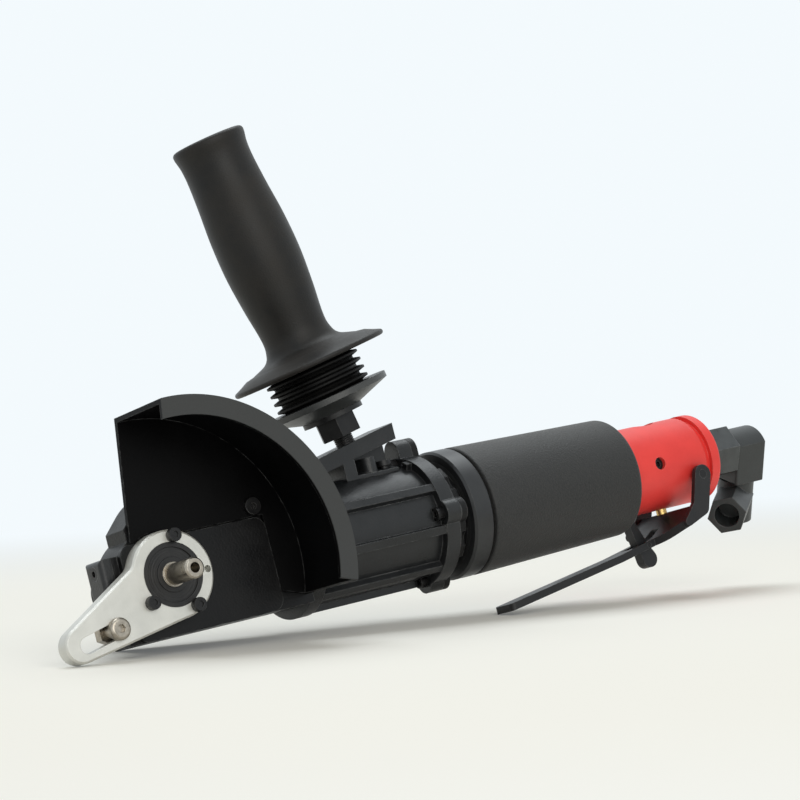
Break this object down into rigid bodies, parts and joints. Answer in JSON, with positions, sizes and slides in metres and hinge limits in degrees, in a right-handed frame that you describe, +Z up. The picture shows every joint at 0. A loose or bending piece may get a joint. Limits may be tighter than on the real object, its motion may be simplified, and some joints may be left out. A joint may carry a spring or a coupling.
{
  "type": "pneumatic burnishing tool",
  "caption": "Pneumatic hand tool with an angled spindle, wheel guard, slotted support arm, damped side handle, foam grip, throttle lever and swivel air inlet.",
  "frame": {"origin": "on the spindle axis, where the spindle's bare end begins in front of its bearing", "axes": "+Z up from the table it rests on, +X along the tool from gear head to air inlet, the spindle points towards -Y; motor and spindle are tilted a little, as the tool lies"},
  "size_m": [0.3841, 0.113, 0.2155],
  "materials": {
    "cast_dark": "satin dark grey casting",
    "guard_dark": "satin dark grey sheet",
    "arm_silver": "matte blasted",
    "steel": "ground",
    "black_steel": "blackened screws",
    "bearing": "sealed",
    "gear_alloy": "machined",
    "rubber": "matte",
    "bellows": "matte",
    "core": "moulded",
    "foam": "fine grained foam",
    "collar": "smooth",
    "tube": "plain",
    "plate": "machined",
    "vane": "fibre resin",
    "red": "red anodised satin",
    "lever_dark": "satin dark grey",
    "brass": "turned",
    "dark_nickel": "dark plated",
    "swivel_dark": "satin dark grey"
  },
  "bodies": {
    "housing": {"gear_head": "cast_dark", "nose_cap": "cast_dark", "nose_cap_screws": "black_steel", "front_bearing": "bearing", "rear_bearing": "bearing", "rear_cap": "cast_dark", "support_arm": "arm_silver", "arm_screws": "black_steel", "wheel_guard": "guard_dark", "guard_screw": "steel", "pinion_bearings": "bearing", "bearing_spacer": "gear_alloy", "carrier_bearing": "bearing", "ring_gear": "gear_alloy", "gear_housing": "cast_dark", "housing_screws": "black_steel", "motor_adapter": "cast_dark", "handle_bracket": "cast_dark", "bracket_screws": "steel", "handle_stud": "black_steel", "lock_nut": "black_steel", "handle_washer": "black_steel", "damper_plate": "black_steel", "handle_damper": "bellows", "handle_core": "core", "handle_grip": "rubber", "collar_ring": "collar", "motor_tube": "tube", "grip_sleeve": "foam", "front_end_plate": "plate", "rear_end_plate": "plate", "rotor_bearings": "bearing", "cylinder_liner": "gear_alloy", "valve_housing": "red", "set_screw": "black_steel", "valve_seat": "brass", "valve_plug": "brass", "valve_spring": "steel", "lever_pivots": "black_steel", "inlet_bushing": "dark_nickel"},
    "rotor_unit": {"rotor": "gear_alloy", "rotor_vanes": "vane", "sun_gear": "gear_alloy"},
    "drive": {"bevel_pinion": "gear_alloy", "drive_shaft": "gear_alloy", "planet_carrier": "gear_alloy"},
    "planet_1": {"planet_gear_1": "gear_alloy"},
    "planet_2": {"planet_gear_2": "gear_alloy"},
    "planet_3": {"planet_gear_3": "gear_alloy"},
    "spindle_unit": {"spindle": "steel", "crown_gear": "gear_alloy"},
    "lever": {"throttle_lever": "lever_dark", "latch_pin": "steel"},
    "latch": {"safety_latch": "lever_dark"},
    "valve": {"valve_pin": "brass"},
    "swivel": {"swivel_body": "swivel_dark", "inlet_seal": "rubber"},
    "elbow": {"swivel_elbow": "swivel_dark"},
    "slot_clamp": {"slot_screw": "steel", "slot_nut": "steel"}
  },
  "joints": [
    {"name": "rotor_spin", "type": "hinge", "parent": "housing", "child": "rotor_unit", "pos_m": [0.0007, 0.03203, -0.00571], "axis": [0.9926, 0, 0.1213], "continuous": true},
    {"name": "drive_spin", "type": "hinge", "parent": "housing", "child": "drive", "pos_m": [0.0007, 0.03203, -0.00571], "axis": [0.9926, 0, 0.1213], "continuous": true},
    {"name": "spindle_spin", "type": "hinge", "parent": "housing", "child": "spindle_unit", "pos_m": [0.0007, 0.03203, -0.00571], "axis": [0.0214, 0.9843, -0.1754], "continuous": true},
    {"name": "throttle", "type": "hinge", "parent": "housing", "child": "lever", "pos_m": [0.27948, 0.03044, 0.01945], "axis": [0.0214, 0.9843, -0.1754], "range_deg": [0, 6], "stiffness_Nm_per_rad": 2, "springref_deg": -97.4},
    {"name": "latch_fold", "type": "hinge", "parent": "lever", "child": "latch", "pos_m": [0.25528, 0.02601, -0.00834], "axis": [0.0214, 0.9843, -0.1754], "range_deg": [0, 60]},
    {"name": "valve_lift", "type": "slide", "parent": "housing", "child": "valve", "axis": [-0.1194, 0.1767, 0.977], "range_m": [0, 0.00117], "deforming": ["valve_spring"]},
    {"name": "inlet_turn", "type": "hinge", "parent": "housing", "child": "swivel", "pos_m": [0.32149, 0.03203, 0.03351], "axis": [0.9926, 0, 0.1213], "continuous": true},
    {"name": "elbow_turn", "type": "hinge", "parent": "swivel", "child": "elbow", "pos_m": [0.32437, 0.03965, 0.00998], "axis": [-0.1155, -0.306, 0.945], "continuous": true},
    {"name": "slot_slide", "type": "slide", "parent": "housing", "child": "slot_clamp", "axis": [-0.9403, -0.0398, -0.338], "range_m": [0, 0.0145]},
    {"name": "planet_spin_1", "type": "hinge", "parent": "drive", "child": "planet_1", "pos_m": [0.11074, 0.03397, 0.01865], "axis": [0.9926, 0, 0.1213], "continuous": true},
    {"name": "planet_spin_2", "type": "hinge", "parent": "drive", "child": "planet_2", "pos_m": [0.1125, 0.02168, 0.0042], "axis": [0.9926, 0, 0.1213], "continuous": true},
    {"name": "planet_spin_3", "type": "hinge", "parent": "drive", "child": "planet_3", "pos_m": [0.11291, 0.04043, 0.00086], "axis": [0.9926, 0, 0.1213], "continuous": true}
  ],
  "couplings": [
    {"joint": "drive_spin", "follows": "rotor_spin", "ratio": 0.22727},
    {"joint": "spindle_spin", "follows": "rotor_spin", "ratio": 0.11364},
    {"joint": "planet_spin_1", "follows": "rotor_spin", "ratio": -0.64394},
    {"joint": "planet_spin_2", "follows": "rotor_spin", "ratio": -0.64394},
    {"joint": "planet_spin_3", "follows": "rotor_spin", "ratio": -0.64394},
    {"joint": "latch_fold", "follows": "throttle", "ratio": 10},
    {"joint": "valve_lift", "follows": "throttle", "m_per_rad": 0.011}
  ]
}
